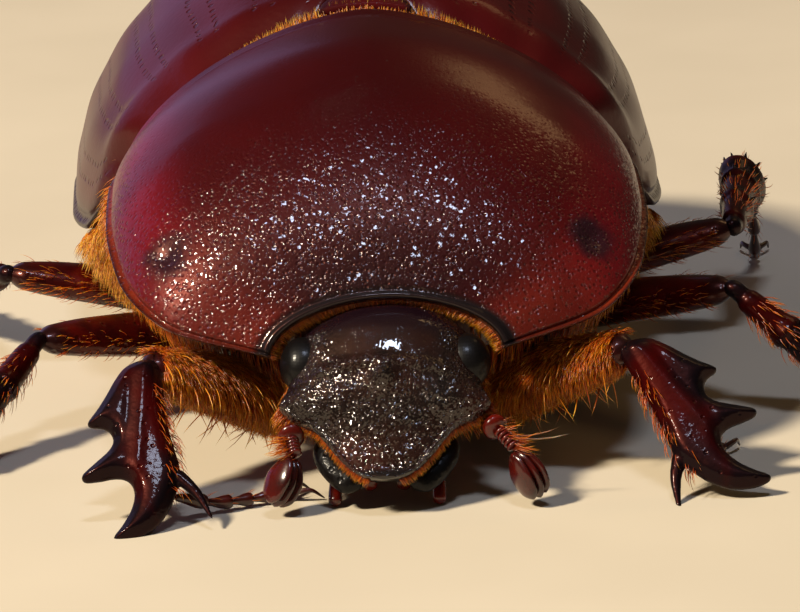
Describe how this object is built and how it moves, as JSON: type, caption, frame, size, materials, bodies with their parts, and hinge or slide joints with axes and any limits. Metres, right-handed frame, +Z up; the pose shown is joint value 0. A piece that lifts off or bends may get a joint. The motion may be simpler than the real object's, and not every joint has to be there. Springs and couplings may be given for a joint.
{
  "type": "rhinoceros beetle",
  "caption": "Life-size female rhinoceros beetle, standing: domed polished shell, toothed digging front legs, leaf-clubbed feelers and amber hair fringes.",
  "frame": {"origin": "on the floor under the middle of the box around the whole beetle", "axes": "+Z up; the beetle faces -Y; +X is the beetle's own left"},
  "size_m": [0.0222, 0.0212, 0.0086],
  "materials": {
    "abdomen": "red-brown shell",
    "antenna_club_left": "dark red-brown club",
    "antenna_club_right": "dark red-brown club",
    "antenna_left": "red-brown shaft",
    "antenna_right": "red-brown shaft",
    "chin_plate": "dark brown shell with amber hairs",
    "coxa_front_left": "glossy dark red leg shell",
    "coxa_front_right": "glossy dark red leg shell",
    "coxa_hind_left": "glossy dark red leg shell",
    "coxa_hind_right": "glossy dark red leg shell",
    "coxa_middle_left": "glossy dark red leg shell",
    "coxa_middle_right": "glossy dark red leg shell",
    "elytron_left": "polished dark red-brown shell",
    "elytron_right": "polished dark red-brown shell",
    "eye_left": "glossy black compound eye",
    "eye_right": "glossy black compound eye",
    "femur_front_left": "glossy dark red leg shell",
    "femur_front_right": "glossy dark red leg shell",
    "femur_hind_left": "glossy dark red leg shell",
    "femur_hind_right": "glossy dark red leg shell",
    "femur_middle_left": "glossy dark red leg shell",
    "femur_middle_right": "glossy dark red leg shell",
    "head": "wrinkled near-black shell",
    "hind_thorax": "brown shell under amber hair",
    "labial_palp_left": "translucent red-brown shell",
    "labial_palp_right": "translucent red-brown shell",
    "mandible_left": "black horn",
    "mandible_right": "black horn",
    "maxillary_palp_left": "translucent red-brown shell",
    "maxillary_palp_right": "translucent red-brown shell",
    "pronotum": "polished mahogany shell with fine pits",
    "prosternum": "brown shell under amber hair",
    "pygidium": "red-brown shell",
    "scutellum": "polished dark red-brown shell",
    "tarsus_front_left": "glossy dark red leg shell",
    "tarsus_front_right": "glossy dark red leg shell",
    "tarsus_hind_left": "glossy dark red leg shell",
    "tarsus_hind_right": "glossy dark red leg shell",
    "tarsus_middle_left": "glossy dark red leg shell",
    "tarsus_middle_right": "glossy dark red leg shell",
    "tibia_front_left": "glossy dark red leg shell",
    "tibia_front_right": "glossy dark red leg shell",
    "tibia_hind_left": "glossy dark red leg shell",
    "tibia_hind_right": "glossy dark red leg shell",
    "tibia_middle_left": "glossy dark red leg shell",
    "tibia_middle_right": "glossy dark red leg shell"
  },
  "bodies": {
    "root": {"abdomen": "abdomen", "antenna_club_left": "antenna_club_left", "antenna_club_right": "antenna_club_right", "antenna_left": "antenna_left", "antenna_right": "antenna_right", "chin_plate": "chin_plate", "coxa_front_left": "coxa_front_left", "coxa_front_right": "coxa_front_right", "coxa_hind_left": "coxa_hind_left", "coxa_hind_right": "coxa_hind_right", "coxa_middle_left": "coxa_middle_left", "coxa_middle_right": "coxa_middle_right", "elytron_left": "elytron_left", "elytron_right": "elytron_right", "eye_left": "eye_left", "eye_right": "eye_right", "femur_front_left": "femur_front_left", "femur_front_right": "femur_front_right", "femur_hind_left": "femur_hind_left", "femur_hind_right": "femur_hind_right", "femur_middle_left": "femur_middle_left", "femur_middle_right": "femur_middle_right", "head": "head", "hind_thorax": "hind_thorax", "labial_palp_left": "labial_palp_left", "labial_palp_right": "labial_palp_right", "mandible_left": "mandible_left", "mandible_right": "mandible_right", "maxillary_palp_left": "maxillary_palp_left", "maxillary_palp_right": "maxillary_palp_right", "pronotum": "pronotum", "prosternum": "prosternum", "pygidium": "pygidium", "scutellum": "scutellum", "tarsus_front_left": "tarsus_front_left", "tarsus_front_right": "tarsus_front_right", "tarsus_hind_left": "tarsus_hind_left", "tarsus_hind_right": "tarsus_hind_right", "tarsus_middle_left": "tarsus_middle_left", "tarsus_middle_right": "tarsus_middle_right", "tibia_front_left": "tibia_front_left", "tibia_front_right": "tibia_front_right", "tibia_hind_left": "tibia_hind_left", "tibia_hind_right": "tibia_hind_right", "tibia_middle_left": "tibia_middle_left", "tibia_middle_right": "tibia_middle_right"}
  },
  "joints": []
}
